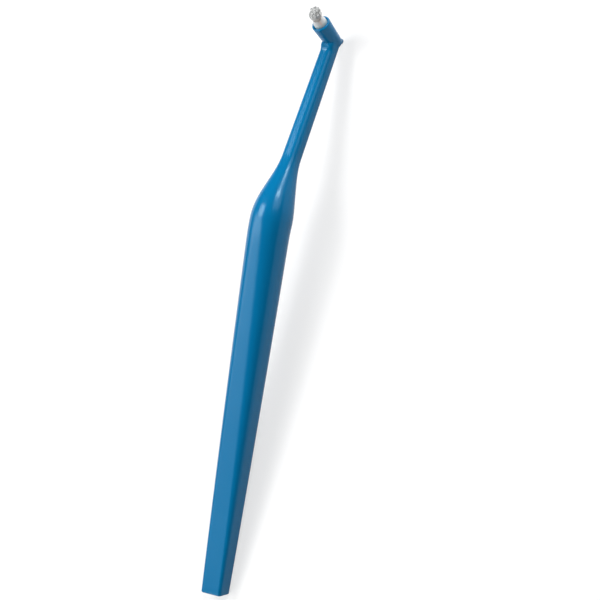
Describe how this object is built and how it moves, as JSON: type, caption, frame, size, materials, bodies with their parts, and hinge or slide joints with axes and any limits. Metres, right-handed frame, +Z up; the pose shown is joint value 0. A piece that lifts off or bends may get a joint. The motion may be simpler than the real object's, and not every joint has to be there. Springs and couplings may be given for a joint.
{
  "type": "single tuft toothbrush",
  "caption": "Slim moulded toothbrush whose tapered handle and bent neck carry an angled sleeve with a push-in tip holding one small round tuft.",
  "frame": {"origin": "middle of the footprint on the surface that the brush lies on", "axes": "+X from the foot of the handle to the head, +Z up and to the side that the tuft faces, Y across; the brush lies on its back on the foot's edge and the heel spur, and the handle rises towards the shoulder"},
  "size_m": [0.1598, 0.0116, 0.0192],
  "materials": {
    "blue_handle": "glossy injection moulded polypropylene",
    "white_holder": "satin natural nylon moulding",
    "brass_anchor": "cut brass strip",
    "white_bristles": "satin nylon filaments"
  },
  "bodies": {
    "brush_body": {"handle": "blue_handle"},
    "tip": {"tuft_holder": "white_holder", "anchor_plate": "brass_anchor", "bristle_tuft": "white_bristles"}
  },
  "joints": [
    {"name": "tip_pull_out", "type": "slide", "parent": "brush_body", "child": "tip", "axis": [0.4235, 0, 0.9059], "range_m": [0, 0.008]}
  ]
}
